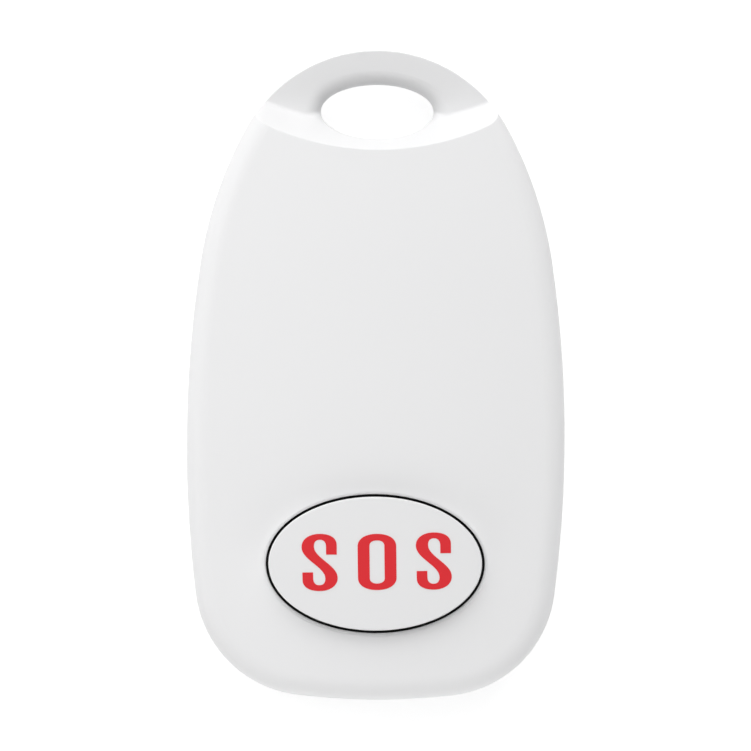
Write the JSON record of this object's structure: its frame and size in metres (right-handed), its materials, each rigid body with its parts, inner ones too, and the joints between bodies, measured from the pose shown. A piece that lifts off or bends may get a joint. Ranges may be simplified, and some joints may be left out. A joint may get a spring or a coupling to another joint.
{
  "type": "wireless panic button",
  "caption": "White pebble-shaped wireless panic button with a lanyard loop, a large oval push button and a turned battery door.",
  "frame": {"origin": "centre of the outline on the flat back, on which it rests", "axes": "+Z out through the button's face, +Y towards the lanyard loop, +X to the right seen from the front"},
  "size_m": [0.0348, 0.06, 0.0134],
  "materials": {
    "shell": "white moulded plastic, fine satin",
    "door": "white moulded plastic, fine satin",
    "button": "white moulded plastic with a red printed marking",
    "gasket": "black silicone",
    "seal": "black silicone",
    "cell": "nickel-plated steel",
    "board": "green lacquered laminate",
    "chip": "black moulded package",
    "can": "plated lid",
    "antenna": "white ceramic",
    "capacitor": "tan ceramic with tinned ends",
    "resistor": "black glazed ceramic with tinned ends",
    "switch_plastic": "black moulded plastic",
    "switch_metal": "thin stainless sheet",
    "stem": "natural plastic",
    "terminal": "tinned strip",
    "contact": "nickel-plated spring strip",
    "screw": "zinc-plated steel"
  },
  "bodies": {
    "case": {"front_shell": "shell", "rear_shell": "shell", "coin_cell": "cell", "circuit_board": "board", "radio_chip": "chip", "controller_chip": "chip", "crystal": "can", "chip_antenna": "antenna", "capacitors": "capacitor", "resistors": "resistor", "switch_housing": "switch_plastic", "switch_plate": "switch_metal", "switch_dome": "switch_metal", "switch_terminals": "terminal", "negative_contact": "contact", "positive_contact": "contact", "case_screws": "screw", "board_screws": "screw"},
    "button": {"button_cap": "button", "button_gasket": "gasket"},
    "stem": {"switch_stem": "stem"},
    "door": {"battery_door": "door", "door_seal": "seal"}
  },
  "joints": [
    {"name": "button_press", "type": "slide", "parent": "case", "child": "button", "axis": [0, 0, -1], "range_m": [0, 0.0004], "stiffness_N_per_m": 1500, "springref_m": -0.001},
    {"name": "stem_press", "type": "slide", "parent": "case", "child": "stem", "axis": [0, 0, -1], "range_m": [0, 0.0004], "deforming": ["switch_dome"]},
    {"name": "door_turn", "type": "hinge", "parent": "case", "child": "door", "pos_m": [0, 0.003, 0], "axis": [0, 0, -1], "range_deg": [0, 35]}
  ],
  "couplings": [
    {"joint": "stem_press", "follows": "button_press", "ratio": 1}
  ]
}
